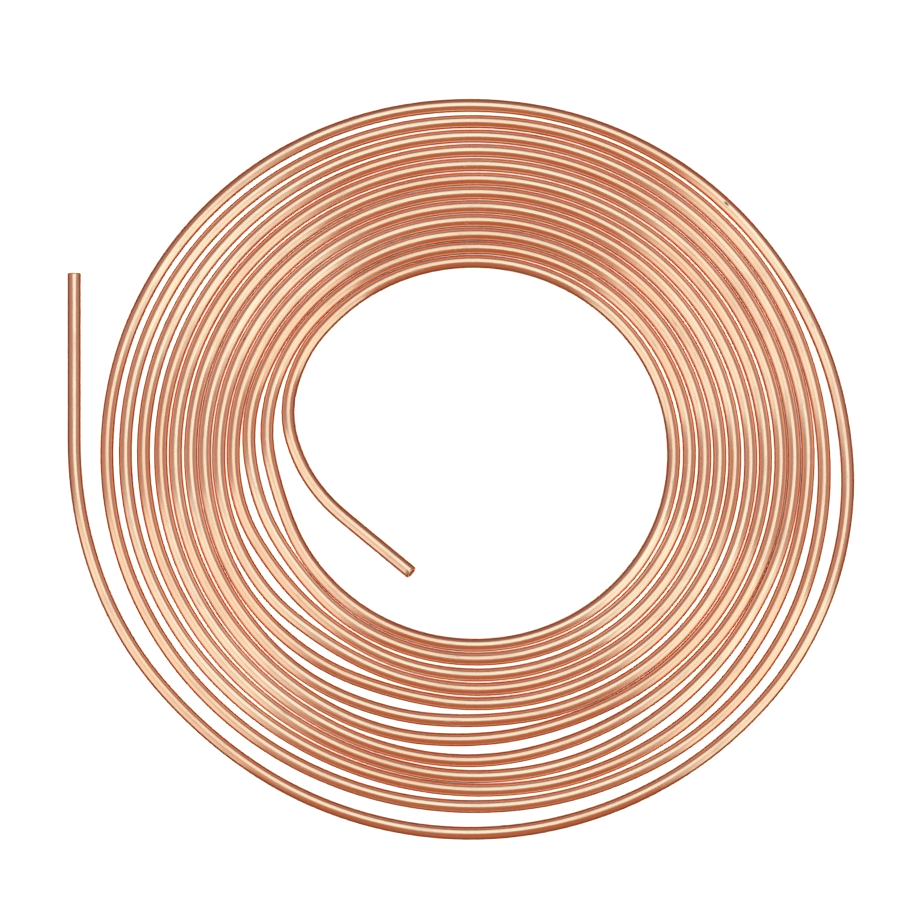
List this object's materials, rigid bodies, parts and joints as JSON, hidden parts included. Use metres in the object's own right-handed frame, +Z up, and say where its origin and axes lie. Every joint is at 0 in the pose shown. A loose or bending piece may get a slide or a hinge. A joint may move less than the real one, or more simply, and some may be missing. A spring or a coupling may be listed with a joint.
{
  "type": "copper tube coil",
  "caption": "Length of soft copper tube wound as a flat spiral one tube thick, with an open eye and two plain cut ends, lying flat",
  "frame": {"origin": "on the ground, under the middle of the outline of the coil with its outer end", "axes": "+Z up, square to the flat spiral; +Y the way the outer straight end points; +X to the right, away from the outer end's side"},
  "size_m": [0.2879, 0.2712, 0.0048],
  "materials": {
    "copper": "bright drawn copper, slightly dulled"
  },
  "bodies": {
    "root": {"copper_tube": "copper"}
  },
  "joints": []
}
